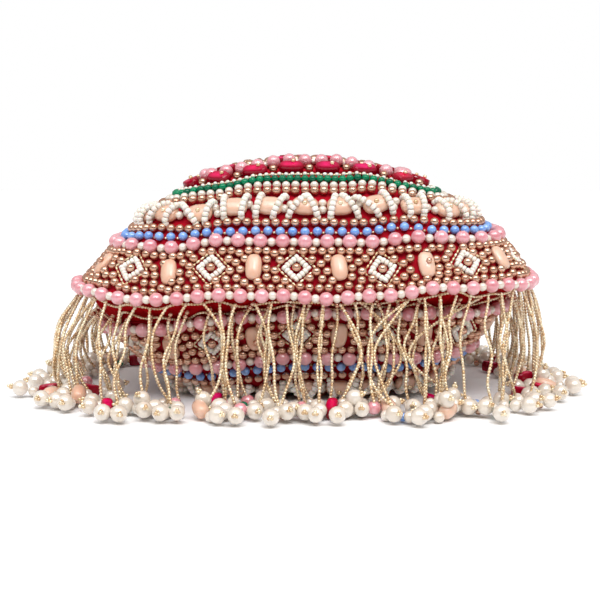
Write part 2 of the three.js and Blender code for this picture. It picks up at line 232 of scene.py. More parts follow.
class Panel:
    """One side of the bag. A place on it has an angle round it and a distance from the edge along it."""

    def __init__(self, name, node, edge, faces_up):
        low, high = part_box(node)
        self.name = name
        self.half_width = high.x
        self.bottom_reach = -low.y
        self.mouth_reach = high.y
        self.edge = edge
        self.middle = high.z if faces_up else low.z + BASE_BEADS
        self.facing = 1 if faces_up else -1
        self.turns = np.linspace(0, TAU, TURN_STEPS)
        self.shares = 1 - np.linspace(0, 1, SHARE_STEPS) ** SHARE_SPACING
        grid = self.point(self.turns[:, None], self.shares[None, :])
        moves = np.diff(grid, axis=1)
        radius = self.outline(self.turns)
        straight = radius / np.hypot(radius, np.gradient(radius, self.turns))
        steps = np.hypot(np.linalg.norm(moves[..., :2], axis=-1) * straight[:, None], moves[..., 2])
        self.walked = np.concatenate([np.zeros((len(grid), 1)), np.cumsum(steps, axis=1)], axis=1)

    def outline(self, angle):
        """How far the edge is from the middle, seen from above."""
        across = np.cos(angle)
        along = np.sin(angle)
        reach = np.where(along > 0, self.mouth_reach, self.bottom_reach)
        power = np.where(along > 0, MOUTH_SQUARENESS, BOTTOM_SQUARENESS)
        return (np.abs(across / self.half_width) ** power + np.abs(along / reach) ** power) ** (-1 / power)

    def edge_height(self, angle):
        from_mouth = np.abs(np.mod(angle, TAU) - TAU / 4)
        part = np.minimum(from_mouth / MOUTH_HALF_ANGLE, 1)
        lift = self.edge["mouth_lift"] * np.cos(part * TAU / 4) ** 2
        right = self.outline(angle) * np.cos(angle) / self.half_width
        droop = self.edge["droop"] * ease(-right)
        dip = self.edge["dip"] * np.exp(-(((right + DIP_PLACE) / DIP_WIDTH) ** 2))
        raised = self.edge["lift"] * ease((right - LIFT_START) / (LIFT_END - LIFT_START))
        return self.edge["height"] + lift - droop - dip + raised

    def rise(self, angle, share):
        """Share of the way from the edge's height to the middle's."""
        if self.facing < 0:
            return 1 - (np.maximum(share - BASE_SHARE, 0) / (1 - BASE_SHARE)) ** BOWL_POWER
        side = np.maximum(np.cos(angle), 0) ** 2
        power = DOME_POWER + (FULL_POWER - DOME_POWER) * side
        return (1 - np.minimum(share, 1) ** power) ** (1 + (FULL_ROOT - 1) * side)

    def point(self, angle, share):
        angle, share = np.broadcast_arrays(angle, share)
        radius = self.outline(angle) * share
        edge = self.edge_height(angle)
        height = edge + (self.middle - edge) * self.rise(angle, share)
        return np.stack([radius * np.cos(angle), radius * np.sin(angle), height], axis=-1)

    def share_at(self, angle, distance):
        turn = np.mod(angle, TAU) / TAU * (len(self.turns) - 1)
        rows = np.minimum(turn.astype(int), len(self.turns) - 2)
        distance = np.broadcast_to(distance, rows.shape)
        pairs = list(zip(rows, distance))
        near = np.array([np.interp(d, self.walked[row], self.shares) for row, d in pairs])
        far = np.array([np.interp(d, self.walked[row + 1], self.shares) for row, d in pairs])
        return near + (far - near) * (turn - rows)

    def place(self, angle, distance, shrink=1.0):
        """Places at a distance from the edge. Lines of beads sag on the right of the front panel."""
        share = self.share_at(angle, distance)
        if self.facing > 0:
            right = self.outline(angle) * np.cos(angle) * share / self.half_width
            heavy = np.exp(-(((right - SAG_PLACE) / SAG_WIDTH) ** 2))
            sag = SAG * heavy * np.maximum(-np.sin(angle), 0) ** 0.3
            share = self.share_at(angle, distance - sag * np.minimum(distance / SAG_FULL, 1))
        return self.place_at(angle, share * shrink)

    def place_at(self, angle, share):
        nudge = 1e-3
        outer = np.clip(share + nudge, 2 * nudge, 1)
        round_it = unit(self.point(angle + nudge, share) - self.point(angle - nudge, share))
        inwards = self.point(angle, outer - 2 * nudge) - self.point(angle, outer)
        normal = unit(np.cross(round_it, inwards)) * self.facing
        return Place(self.point(angle, share), round_it, np.cross(normal, round_it) * self.facing, normal)

    def spaced(self, distance, pitch, shift=0.0, shrink=1.0, count=None):
        """Angles of places a pitch apart, or a count of them, right round from the bottom's middle."""
        walked = paced(self.point(FROM_BOTTOM, self.share_at(FROM_BOTTOM, distance) * shrink))
        count = count or max(round(walked[-1] / pitch), 3)
        return np.interp((np.arange(count) + shift) / count % 1 * walked[-1], walked, FROM_BOTTOM)

    def oval(self, share, pitch):
        """Places a pitch apart round the panel's middle, at one share of the way out to its edge."""
        walked = paced(self.point(self.turns, share))
        count = round(walked[-1] / pitch)
        return self.place_at(np.interp(np.arange(count) / count * walked[-1], walked, self.turns), share)


def skin(name, rings):
    """A closed mesh lofted through rings of points, with both ends filled."""
    rows, sides = rings.shape[:2]
    corner = np.arange(rows * sides).reshape(rows, sides)
    after = np.roll(corner, -1, axis=1)
    quads = np.stack([corner[:-1], after[:-1], after[1:], corner[1:]], axis=-1).reshape(-1, 4)
    ends = [corner[0, ::-1].tolist(), corner[-1].tolist()]
    mesh = bpy.data.meshes.new(name)
    mesh.from_pydata(rings.reshape(-1, 3), [], quads.tolist() + ends)
    mesh.shade_smooth()
    return mesh


def map_cloth(mesh, coordinates):
    """A UV map in metres of cloth from one coordinate pair for each vertex."""
    corners = np.zeros(len(mesh.loops), np.int32)
    mesh.loops.foreach_get("vertex_index", corners)
    layer = mesh.uv_layers.new(name="cloth")
    layer.data.foreach_set("uv", coordinates.reshape(-1, 2)[corners].ravel())


def raw_silk():
    """Slubbed raw silk, woven: matt, a little uneven in colour, its threads drawn coarse enough to show."""
    silk, tree, shader = shaded("slubbed raw silk", {"Roughness": 0.8, "Specular IOR Level": 0.15})
    uv = add(tree, "ShaderNodeUVMap", uv_map="cloth")
    thread = {"Vector": uv.outputs[0], "Scale": 1 / (20 * SILK_THREAD) * TAU}
    warp = add(tree, "ShaderNodeTexWave", {**thread, "Distortion": 1.5}, bands_direction="X")
    weft = add(tree, "ShaderNodeTexWave", {**thread, "Distortion": 2.5}, bands_direction="Y")
    crossed = {0: warp.outputs["Fac"], 1: weft.outputs["Fac"]}
    weave = add(tree, "ShaderNodeMath", crossed, operation="MULTIPLY")
    slub = add(tree, "ShaderNodeTexNoise", {"Vector": uv.outputs[0], "Scale": 1 / (9 * MM), "Detail": 4})
    # The colour is darker where the weave's relief is low, between threads, and where the slub noise is
    # low.
    weave_and_slub = add(tree, "ShaderNodeMath", {0: weave.outputs[0], 1: slub.outputs["Fac"]}, operation="MULTIPLY")
    reds = {0: weave_and_slub.outputs[0], 6: linear("#ac021c"), 7: linear("#e00c32")}
    colour = add(tree, "ShaderNodeMix", reds, data_type="RGBA")
    bumps = {"Height": weave.outputs[0], "Strength": 0.5, "Distance": 0.2 * MM}
    relief = add(tree, "ShaderNodeBump", bumps)
    tree.links.new(colour.outputs[2], shader.inputs["Base Color"])
    tree.links.new(relief.outputs[0], shader.inputs["Normal"])
    return silk


def cloth_panel(panel, finish):
    """The panel's wall: an outer and an inner surface that meet in a rolled edge."""
    angles = np.linspace(TAU / 4, 5 * TAU / 4, CLOTH_ROUND, endpoint=False)
    shares = 1 - CLOTH_REACH * np.linspace(0, 1, CLOTH_ROWS) ** CLOTH_SPACING
    round_grid, share_grid = np.meshgrid(angles, shares)
    at = panel.place_at(round_grid, share_grid)
    around = round_grid * panel.half_width
    down = np.array([np.interp(s, panel.shares[::-1], panel.walked[0][::-1]) for s in shares])
    pucker = wander(around / PUCKER_ROUND, 11) * wander(down[:, None] / PUCKER_DOWN, 12)
    outer = at.point + at.normal * (CLOTH_PUCKER * pucker)[..., None]
    inner = outer - at.normal * CLOTH_WALL
    rolled = (outer[:1] + inner[:1]) / 2 - at.inwards[:1] * CLOTH_WALL * EDGE_ROLL
    uv = np.stack([around, np.broadcast_to(down[:, None], around.shape)], axis=-1)
    rings = np.concatenate([inner[::-1], rolled, outer])
    map_rings = np.concatenate([uv[::-1], uv[:1], uv])
    if panel.facing < 0:
        rings = rings[::-1]
        map_rings = map_rings[::-1]
    piece = put_in_scene(f"{panel.name}_cloth", skin(f"{panel.name}_cloth", rings))
    map_cloth(piece.data, map_rings)
    piece.data.materials.append(finish)
    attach(piece, "root")
    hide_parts(f"{panel.name}_panel")
    return piece


front = Panel("front", "front_panel", FRONT_EDGE, True)
back = Panel("back", "back_panel", BACK_EDGE, False)
PANELS = (front, back)
silk = raw_silk()
for panel in PANELS:
    cloth = cloth_panel(panel, silk)

# Gusset: a narrow strip of deep red velvet sewn between the joined edges of the two panels.
# It runs from one corner of the mouth round the bottom to the other, and puckers along both seams.
SEAM_INSET = 1.5 * MM
SEAM_GAP = 0.4 * MM
VELVET_WALL = 1.4 * MM
VELVET_STEPS = 320
VELVET_ROWS = 9
VELVET_FOLD = 0.9 * MM
VELVET_FOLDS = 40
VELVET_SWELL = 0.3
VELVET_SWELLS = 11
EDGE_STEPS = 1441
VELVET_PILE = 0.5 * MM
Line = namedtuple("Line", "point along out")


def edge_line(panel, shares, outset=0.0, rise=0.0):
    """Places along a panel's joined edge at shares of its length, moved out and up from it."""
    angles = np.linspace(JOIN_START, JOIN_END, EDGE_STEPS)
    ring = panel.point(angles, 1.0)
    along = unit(np.gradient(ring, axis=0))
    out = unit(np.stack([along[:, 1], -along[:, 0], np.zeros(len(along))], axis=-1))
    moved = ring + out * outset + np.array([0, 0, rise])
    walked = paced(moved)
    at = np.asarray(shares) * walked[-1]

    def read(values):
        return np.stack([np.interp(at, walked, values[:, axis]) for axis in range(3)], axis=-1)

    return Line(read(moved), unit(read(along)), unit(read(out)))


def edge_length(panel, outset):
    points = edge_line(panel, np.linspace(0, 1, TURN_STEPS), outset).point
    return np.linalg.norm(np.diff(points, axis=0), axis=1).sum()


def seam(shares, across):
    """Points of the seam's strip, across from 0 at the back panel to 1 at the front, and the way out."""
    upper = edge_line(front, shares, -SEAM_INSET, -SEAM_GAP)
    lower = edge_line(back, shares, -SEAM_INSET, SEAM_GAP)
    rise = upper.point - lower.point
    return lower.point + rise * across, unit(np.cross(lower.along, rise))


def crimson_velvet():
    """Cotton velvet, cut pile: deep and dark where it is seen straight on, with a soft bright edge."""
    velvet, tree, shader = shaded(
        "crimson cut velvet",
        {
            "Roughness": 0.95,
            "Specular IOR Level": 0.1,
            "Sheen Weight": 0.2,
            "Sheen Roughness": 0.4,
            "Sheen Tint": linear("#d00a18"),
        },
    )
    place = add(tree, "ShaderNodeTexCoord")
    nap = add(tree, "ShaderNodeTexNoise", {"Vector": place.outputs["Object"], "Scale": 1 / (12 * MM)})
    pile = add(tree, "ShaderNodeTexNoise", {"Vector": place.outputs["Object"], "Scale": 1 / VELVET_PILE})
    reds = {0: nap.outputs["Fac"], 6: linear("#7a0006"), 7: linear("#b8040e")}
    colour = add(tree, "ShaderNodeMix", reds, data_type="RGBA")
    bumps = {"Height": pile.outputs["Fac"], "Strength": 0.6, "Distance": 0.3 * MM}
    relief = add(tree, "ShaderNodeBump", bumps)
    tree.links.new(colour.outputs[2], shader.inputs["Base Color"])
    tree.links.new(relief.outputs[0], shader.inputs["Normal"])
    return velvet


velvet_shares = np.linspace(0, 1, VELVET_STEPS)
velvet_across = np.linspace(0, 1, VELVET_ROWS)
faces = {"outer": [], "inner": []}
for part in velvet_across:
    point, away = seam(velvet_shares, part)
    fold = VELVET_FOLD * math.sin(part * TAU / 2) * wander(velvet_shares * VELVET_FOLDS, 21)
    swell = VELVET_SWELL * VELVET_FOLD * wander(velvet_shares * VELVET_SWELLS, 22)
    middle = point + away * (fold + swell)[:, None] * math.sin(part * TAU / 2)
    faces["outer"].append(middle + away * VELVET_WALL / 2)
    faces["inner"].append(middle - away * VELVET_WALL / 2)
velvet_rings = np.stack([*faces["outer"][::-1], *faces["inner"]], axis=1)
gusset = put_in_scene("gusset_velvet", skin("gusset_velvet", velvet_rings))
gusset.data.materials.append(crimson_velvet())
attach(gusset, "root")
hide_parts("gusset")
gusset_length = edge_length(back, 0)

# Edge strings: milky rose glass beads with a cream pearl in each gap, strung on thread and couched
# along the joined edge of each panel. The thread gives a little, so the strings aren't quite straight.
ROSE_BEAD = 7.1 * MM
EDGE_PEARL = 4.3 * MM
EDGE_PITCH = 10.3 * MM
EDGE_WAVE = 0.8 * MM
EDGE_WAVES = 9
FRONT_STRING = (3.9 * MM, 0.6 * MM)
BACK_STRING = (3.4 * MM, -2.9 * MM)
Beads = namedtuple("Beads", "middle thread up size")


def turned_bead(name, profile, sides):
    """A bead turned about its thread: a profile of places along the thread and radii, its ends filled."""
    angles = np.linspace(0, TAU, sides, endpoint=False)
    rings = [[(x, r * math.cos(a), r * math.sin(a)) for a in angles] for x, r in profile]
    return bpy.data.objects.new(name, skin(name, np.array(rings)))


def round_profile(rows, hole):
    """Half a circle of diameter 1, cut off at the hole."""
    start = math.asin(2 * hole)
    angles = np.linspace(start, TAU / 2 - start, rows)
    return [(-math.cos(a) / 2, math.sin(a) / 2) for a in angles]


def mirrored(end):
    """A whole profile from one end's half of it."""
    return end + [(-x, r) for x, r in reversed(end)]


def sewn_beads_tree():
    """Geometry nodes that set a copy of a bead on every place, turned to its thread, as one mesh."""
    tree = bpy.data.node_groups.new("sewn beads", "GeometryNodeTree")
    sockets = (
        ("Places", "INPUT", "NodeSocketGeometry"),
        ("Bead", "INPUT", "NodeSocketObject"),
        ("Finish", "INPUT", "NodeSocketMaterial"),
        ("Seed", "INPUT", "NodeSocketInt"),
        ("Beads", "OUTPUT", "NodeSocketGeometry"),
    )
    for name, way, kind in sockets:
        tree.interface.new_socket(name, in_out=way, socket_type=kind)
    given = add(tree, "NodeGroupInput")
    bead = add(tree, "GeometryNodeObjectInfo", {"Object": given.outputs["Bead"]})
    read = {
        name: add(tree, "GeometryNodeInputNamedAttribute", {"Name": name}, data_type="FLOAT_VECTOR")
        for name in ("thread", "up", "size")
    }
    axes = {0: read["thread"].outputs[0], 1: read["up"].outputs[0]}
    turn = add(tree, "FunctionNodeAxesToRotation", axes, primary_axis="X", secondary_axis="Z")
    set_out = {
        "Points": given.outputs["Places"],
        "Instance": bead.outputs["Geometry"],
        "Rotation": turn.outputs[0],
        "Scale": read["size"].outputs[0],
    }
    copies = add(tree, "GeometryNodeInstanceOnPoints", set_out)
    chance = add(tree, "FunctionNodeRandomValue", {"Seed": given.outputs["Seed"]}, data_type="FLOAT")
    tone = {"Geometry": copies.outputs[0], "Name": "tone", "Value": chance.outputs[1]}
    toned = add(tree, "GeometryNodeStoreNamedAttribute", tone, data_type="FLOAT", domain="INSTANCE")
    joined = add(tree, "GeometryNodeRealizeInstances", {"Geometry": toned.outputs[0]})
    finish = {"Geometry": joined.outputs[0], "Material": given.outputs["Finish"]}
    dressed = add(tree, "GeometryNodeSetMaterial", finish)
    add(tree, "NodeGroupOutput", {"Beads": dressed.outputs[0]})
    return tree


sewn_beads = sewn_beads_tree()
sewn_sockets = {
    item.name: item.identifier for item in sewn_beads.interface.items_tree if item.in_out == "INPUT"
}


def sew(name, bead, groups, finish, replaces=()):
    """Sews a bead at every place of several groups, as one piece that rides on the bag."""
    places = bpy.data.meshes.new(f"{name} places")
    middles = np.concatenate([group.middle for group in groups])
    places.vertices.add(len(middles))
    places.vertices.foreach_set("co", middles.ravel())
    for label in ("thread", "up", "size"):
        values = [np.broadcast_to(getattr(group, label), group.middle.shape) for group in groups]
        attribute = places.attributes.new(label, "FLOAT_VECTOR", "POINT")
        attribute.data.foreach_set("vector", np.concatenate(values).ravel())
    piece = put_in_scene(name, places)
    modifier = piece.modifiers.new("sewn beads", "NODES")
    modifier.node_group = sewn_beads
    modifier[sewn_sockets["Bead"]] = bead
    modifier[sewn_sockets["Finish"]] = finish
    modifier[sewn_sockets["Seed"]] = sum(map(ord, name))
    dressed = piece.evaluated_get(bpy.context.evaluated_depsgraph_get())
    mesh = bpy.data.meshes.new_from_object(dressed)
    piece.modifiers.clear()
    piece.data = mesh
    bpy.data.meshes.remove(places)
    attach(piece, "root")
    if replaces:
        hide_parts(*replaces)
    return piece


def bead_finish(name, dark, light, sockets, fleck=2.5 * MM, depth=0.25):
    """A bead's material: its colour goes from dark to light from bead to bead, and a little within each."""
    material, tree, shader = shaded(name, sockets)
    tone = add(tree, "ShaderNodeAttribute", attribute_name="tone")
    place = add(tree, "ShaderNodeTexCoord")
    flecks = {"Vector": place.outputs["Object"], "Scale": 1 / fleck, "Detail": 3}
    cloud = add(tree, "ShaderNodeTexNoise", flecks)
    shades = {0: depth, 2: tone.outputs["Fac"], 3: cloud.outputs["Fac"]}
    mixed = add(tree, "ShaderNodeMix", shades, data_type="FLOAT")
    tones = {0: mixed.outputs[0], 6: linear(dark), 7: linear(light)}
    colour = add(tree, "ShaderNodeMix", tones, data_type="RGBA")
    tree.links.new(colour.outputs[2], shader.inputs["Base Color"])
    return material


# Pressed glass with a milky body: light goes into it a little way, and its polish gives small highlights.
rose_glass = bead_finish(
    "milky rose glass",
    "#d8868f",
    "#e4a6ae",
    {
        "Roughness": 0.3,
        "Subsurface Weight": 0.5,
        "Subsurface Radius": (1.0, 0.55, 0.6),
        "Subsurface Scale": 2 * MM,
        "Coat Weight": 1.0,
        "Coat IOR": 1.9,
        "Coat Roughness": 0.04,
    },
)
# Glass dipped in pearl essence: a warm white body under a satin coat with a faint play of colour.
pearl = bead_finish(
    "dipped cream pearl",
    "#d9cab8",
    "#e9dfd2",
    {
        "Roughness": 0.3,
        "IOR": 1.8,
        "Coat Weight": 1.0,
        "Coat IOR": 2.0,
        "Coat Roughness": 0.04,
        "Sheen Weight": 0.15,
        "Sheen Roughness": 0.5,
    },
)
large_round = turned_bead("large round bead", round_profile(8, 0.1), 14)
small_round = turned_bead("small round bead", round_profile(6, 0.14), 10)


def edge_string(panel, outset, rise, seed):
    """Rose beads and pearls in turn along a panel's joined edge."""
    count = round(edge_length(panel, outset) / EDGE_PITCH)
    groups = []
    for shift, size in ((0.5, ROSE_BEAD), (0.0, EDGE_PEARL)):
        shares = (np.arange(count) + shift) / count
        line = edge_line(panel, shares, outset, rise)
        wave = EDGE_WAVE * wander(shares * EDGE_WAVES, seed)
        middle = line.point + np.array([0, 0, 1]) * wave[:, None]
        groups.append(Beads(middle, line.along, line.out, np.full((count, 3), size)))
    return groups


for panel, string, seed in ((front, FRONT_STRING, 31), (back, BACK_STRING, 32)):
    rose_places, pearl_places = edge_string(panel, *string, seed)
    rose_name = f"{panel.name}_edge_rose_beads"
    sew(rose_name, large_round, [rose_places], rose_glass, [f"{panel.name}_edge_beads"])
    sew(f"{panel.name}_edge_pearls", small_round, [pearl_places], pearl)

# Rose rings: the same rose beads and pearls strung in a closed line round each panel, some way in from
# its edge, and couched down between the beads. The line isn't quite true, as it was laid by hand.
RING_DISTANCE = 27.8 * MM
RING_PITCH = 11 * MM
RING_ROSE = 7.2 * MM
RING_PEARL = 4.6 * MM
RING_WAVE = 0.7 * MM
WAVE_BEADS = 9
SEAT = 0.45


def seated(at, size, lift=0.0, stray=0.0, seed=0):
    """Beads sewn down at places on the cloth, each strayed a little, and none of them below the ground."""
    draw = np.random.default_rng(seed)
    off = draw.normal(0, 0.6, (2, len(at.point), 1)).clip(-1, 1) * stray
    middle = at.point + at.normal * (size * SEAT + lift) + at.round * off[0] + at.inwards * off[1]
    middle[:, 2] = np.maximum(middle[:, 2], size / 2)
    return Beads(middle, at.round, at.normal, np.full(middle.shape, size))


def row(panel, distance, pitch, size, shift=0.0, shrink=1.0, wave=0.0, seed=0, **how):
    """A line of beads all the way round a panel, at a distance from its edge."""
    angles = panel.spaced(distance, pitch, shift, shrink)
    bend = wave * wander((np.arange(len(angles)) + shift) / WAVE_BEADS, seed)
    return seated(panel.place(angles, distance + bend, shrink), size, seed=seed, **how)


def rows(*line, **how):
    """The same line of beads on both panels."""
    return [row(panel, *line, **how) for panel in PANELS]


for panel, replaced in ((front, ["front_ring_beads"]), (back, [])):
    line = {"wave": RING_WAVE, "seed": 41}
    rose_places = row(panel, RING_DISTANCE, RING_PITCH, RING_ROSE, **line)
    pearl_places = row(panel, RING_DISTANCE, RING_PITCH, RING_PEARL, shift=0.5, **line)
    sew(f"{panel.name}_ring_rose_beads", large_round, [rose_places], rose_glass, replaced)
    sew(f"{panel.name}_ring_pearls", small_round, [pearl_places], pearl)

# Champagne field: plated rose-gold beads sewn down one by one between the edge and the rose ring, close
# but not in ranks, so that red silk shows between them. They leave room for the diamonds and the ovals.
FIELD_ROWS = [d * MM for d in (3.8, 8.6, 13.5, 18.4, 23.2)]
FIELD_BEAD = 4.6 * MM
FIELD_PITCH = 4.9 * MM
FIELD_APART = 4.9 * MM
FIELD_STRAY = 0.9 * MM
FIELD_STEPS = 50
FIELD_STEP = 0.3
FIELD_OVERLAP = 0.7
MOTIF_DISTANCE = 14.5 * MM
MOTIF_PITCH = 43 * MM
DIAMOND_SHIFT = -0.1
OVAL_SHIFT = 0.4
DIAMOND_ROOM = (12 * MM, 12 * MM)
OVAL_ROOM = (6.2 * MM, 8.8 * MM)

# Plated metal, polished: it mirrors the studio above and the red cloth below, hence its two halves.
champagne = bead_finish(
    "rose gold plating",
    "#c4947b",
    "#dfbba4",
    {
        "Metallic": 0.85,
        "Roughness": 0.25,
        "Specular Tint": linear("#f09a64"),
        "Coat Weight": 0.4,
        "Coat IOR": 1.6,
        "Coat Roughness": 0.04,
    },
)


def motifs(panel, shift):
    """Places of a panel's diamonds or ovals."""
    return panel.place(panel.spaced(MOTIF_DISTANCE, MOTIF_PITCH, shift), MOTIF_DISTANCE)


def field_places(panel, seed):
    """Places of the field's beads: from rows, pushed apart and out of the motifs until they lie evenly."""
    draw = np.random.default_rng(seed)
    walked = paced(panel.place(FROM_BOTTOM, MOTIF_DISTANCE).point)
    length = walked[-1]
    count = round(length / FIELD_PITCH)
    spots = []
    for number, distance in enumerate(FIELD_ROWS):
        spots += [((place + number % 2 / 2) * length / count, distance) for place in range(count)]
    spots = np.array(spots)
    spots += draw.normal(0, FIELD_STRAY, spots.shape)
    motif_count = round(length / MOTIF_PITCH)

    def offsets(points):
        gap = spots[:, None] - points[None]
        gap[..., 0] -= length * np.round(gap[..., 0] / length)
        return gap

    def motif_offsets(shift):
        along = (np.arange(motif_count) + shift) / motif_count * length
        return offsets(np.stack([along, np.full(motif_count, MOTIF_DISTANCE)], axis=-1))

    rooms = ((DIAMOND_SHIFT, np.array(DIAMOND_ROOM), 1), (OVAL_SHIFT, np.array(OVAL_ROOM), 2))
    for shift, room, power in rooms:
        gauge = (np.abs(motif_offsets(shift) / room) ** power).sum(-1) ** (1 / power)
        spots = spots[(gauge > FIELD_OVERLAP).all(axis=1)]
    for _ in range(FIELD_STEPS):
        gap = offsets(spots)
        far = np.linalg.norm(gap, axis=-1) + 1e-9
        push = np.maximum(FIELD_APART - far, 0) / far * FIELD_STEP
        spots = spots + (gap * push[..., None]).sum(axis=1)
        for shift, room, power in rooms:
            gap = motif_offsets(shift)
            gauge = (np.abs(gap / room) ** power).sum(-1) ** (1 / power)
            spots = spots + (gap * np.maximum(1 / gauge - 1, 0)[..., None]).sum(axis=1)
        spots[:, 1] = np.clip(spots[:, 1], FIELD_ROWS[0], FIELD_ROWS[-1])
    return panel.place(np.interp(spots[:, 0] % length, walked, FROM_BOTTOM), spots[:, 1])


field = [seated(field_places(panel, 46), FIELD_BEAD, stray=0.2 * MM, seed=47) for panel in PANELS]
sew("champagne_field", small_round, field, champagne)

# Peach ovals: tumbled peach agate, drilled along its length and sewn upright on the panels between the
# diamonds. Each is turned a little, and a gold bead holds some of them down.
OVAL_SIZE = np.array([13.4, 8.2, 4.8]) * MM
OVAL_LEAN = math.radians(7)
OVAL_HEIGHT = 2.3 * MM
OVAL_COUNT = 14
OVAL_STUD = 3.0 * MM
OVAL_STUD_AT = (0.8 * MM, 0.9 * MM, 5.2 * MM)
STUDDED = [1, 5, 8, 12]
GROUND_ROOM = 0.4 * MM


def laid_out(at, points, threads, size, leans):
    """Copies of a pattern of beads on the cloth: its points and threads are round, inwards and outwards."""
    cosines = np.cos(leans)[:, None]
    sines = np.sin(leans)[:, None]
    axes = (at.round * cosines + at.inwards * sines, at.inwards * cosines - at.round * sines, at.normal)

    def spread(local):
        return sum(axis[:, None] * np.asarray(local)[None, :, i, None] for i, axis in enumerate(axes))

    middle = (at.point[:, None] + spread(points)).reshape(-1, 3)
    thread = spread(threads).reshape(-1, 3)
    up = np.repeat(at.normal, len(points), axis=0)
    side = np.cross(up, thread)
    half_heights = np.stack([thread[:, 2], side[:, 2], up[:, 2]], axis=-1) * size / 2
    middle[:, 2] = np.maximum(middle[:, 2], np.linalg.norm(half_heights, axis=-1) + GROUND_ROOM)
    return Beads(middle, thread, up, np.broadcast_to(size, middle.shape))


def chosen(at, which):
    """Some of several places."""
    return Place(*(part[which] for part in at))


def leaning(count, most, seed):
    return np.random.default_rng(seed).uniform(-most, most, count)


# Polished agate: cloudy, a little waxy, with a soft highlight.
peach_agate = bead_finish(
    "tumbled peach agate",
    "#d6a386",
    "#e8c6b0",
    {
        "Roughness": 0.35,
        "Subsurface Weight": 0.3,
        "Subsurface Radius": (1.0, 0.55, 0.35),
        "Subsurface Scale": 1.5 * MM,
        "Coat Weight": 0.6,
        "Coat Roughness": 0.12,
    },
    fleck=5 * MM,
    depth=0.5,
)
OVAL_END = [(-0.5, 0.14), (-0.46, 0.3), (-0.36, 0.43), (-0.15, 0.5)]
tumbled_oval = turned_bead("tumbled oval", mirrored(OVAL_END), 12)
ovals = []
studs = []
for panel in PANELS:
    at = motifs(panel, OVAL_SHIFT)
    leans = leaning(len(at.point), OVAL_LEAN, 51)
    ovals.append(laid_out(at, [(0, 0, OVAL_HEIGHT)], [(0, 1, 0)], OVAL_SIZE, leans))
    held_down = chosen(at, STUDDED)
    studs.append(laid_out(held_down, [OVAL_STUD_AT], [(1, 0, 0)], OVAL_STUD, leans[STUDDED]))
oval_nodes = [f"peach_oval_{i:02d}" for i in range(1, OVAL_COUNT + 1)]
sew("peach_ovals", tumbled_oval, ovals, peach_agate, oval_nodes)
sew("oval_studs", small_round, studs, champagne)

# Diamonds: a square of chalk white seed beads on its corner, with one champagne bead in the middle, inside
# a thin couched line of gold bugles. They stand in a row with the ovals on both panels.
CHALK_SEED = np.array([1.95, 3.2, 2.9]) * MM
CHALK_HALF = 5.8 * MM
CHALK_SIDE = 4
DIAMOND_BEAD = 4.4 * MM
BUGLE = np.array([2.4, 1.3, 1.3]) * MM
BUGLE_HALF = 9.6 * MM
BUGLE_SIDE = 5
DIAMOND_LEAN = math.radians(8)
CHALK_HEIGHT = 1.3 * MM
BUGLE_HEIGHT = 1.4 * MM
MIDDLE_HEIGHT = 2.0 * MM


def diamond(half, side, height, offset=0.0):
    """Points and threads of beads along the four sides of a square that stands on its corner."""
    corners = [(half, 0), (0, half), (-half, 0), (0, -half)]
    points = []
    threads = []
    for start, end in zip(corners, corners[1:] + corners[:1]):
        for step in range(side):
            share = (step + offset) / side
            points.append((*(np.array(start) * (1 - share) + np.array(end) * share), height))
            threads.append((*unit(np.subtract(end, start)), 0))
    return points, threads


# Opaque white glass with a soft gloss, a little creamy in its hollows.
chalk_glass = bead_finish(
    "chalk white glass",
    "#e4dcd0",
    "#f4f0e8",
    {"Roughness": 0.25, "Subsurface Weight": 0.15, "Subsurface Scale": 0.8 * MM, "Coat Weight": 0.2},
)
# Brass-lined glass, dark gold to near white from bead to bead: its own tones, and painted glints for the
# light off the gilt hole.
gilt_glass_painted_glints = bead_finish(
    "gilt-lined glass",
    # The dark gold end is the beads' own colour; the near-white end is a painted glint.
    "#c48c40",
    "#fff6d6",
    {"Metallic": 0.45, "Roughness": 0.22, "Coat Weight": 1.0, "Coat IOR": 1.8, "Coat Roughness": 0.06},
    fleck=0.8 * MM,
    depth=0.4,
)
SEED_END = [(-0.5, 0.28), (-0.42, 0.43), (-0.25, 0.5)]
seed_bead = turned_bead("seed bead", mirrored(SEED_END), 8)
fine_seed = turned_bead("fine seed bead", mirrored([(-0.5, 0.26), (-0.2, 0.5)]), 6)
chalk_squares = []
diamond_beads = []
bugles = []
for panel in PANELS:
    at = motifs(panel, DIAMOND_SHIFT)
    leans = leaning(len(at.point), DIAMOND_LEAN, 61)
    chalk_squares.append(laid_out(at, *diamond(CHALK_HALF, CHALK_SIDE, CHALK_HEIGHT), CHALK_SEED, leans))
    bugles.append(laid_out(at, *diamond(BUGLE_HALF, BUGLE_SIDE, BUGLE_HEIGHT, 0.5), BUGLE, leans))
    diamond_beads.append(laid_out(at, [(0, 0, MIDDLE_HEIGHT)], [(1, 0, 0)], DIAMOND_BEAD, leans))
sew("diamond_seed_beads", seed_bead, chalk_squares, chalk_glass)
sew("diamond_beads", small_round, diamond_beads, champagne)
sew("diamond_bugles", fine_seed, bugles, gilt_glass_painted_glints)

# Blue and champagne lines: opaque cornflower glass with a gilt seed bead in each gap, then a close line of
# champagne beads. They lie inside the rose ring on each panel.
BLUE_DISTANCE = 34.2 * MM
BLUE_BEAD = 4.7 * MM
BLUE_PITCH = 6.1 * MM
GAP_SEED = 1.5 * MM
LINE_DISTANCE = 39.2 * MM
LINE_BEAD = 4.7 * MM
LINE_PITCH = 4.8 * MM
LINE_WAVE = 0.4 * MM
LINE_STRAY = 0.2 * MM

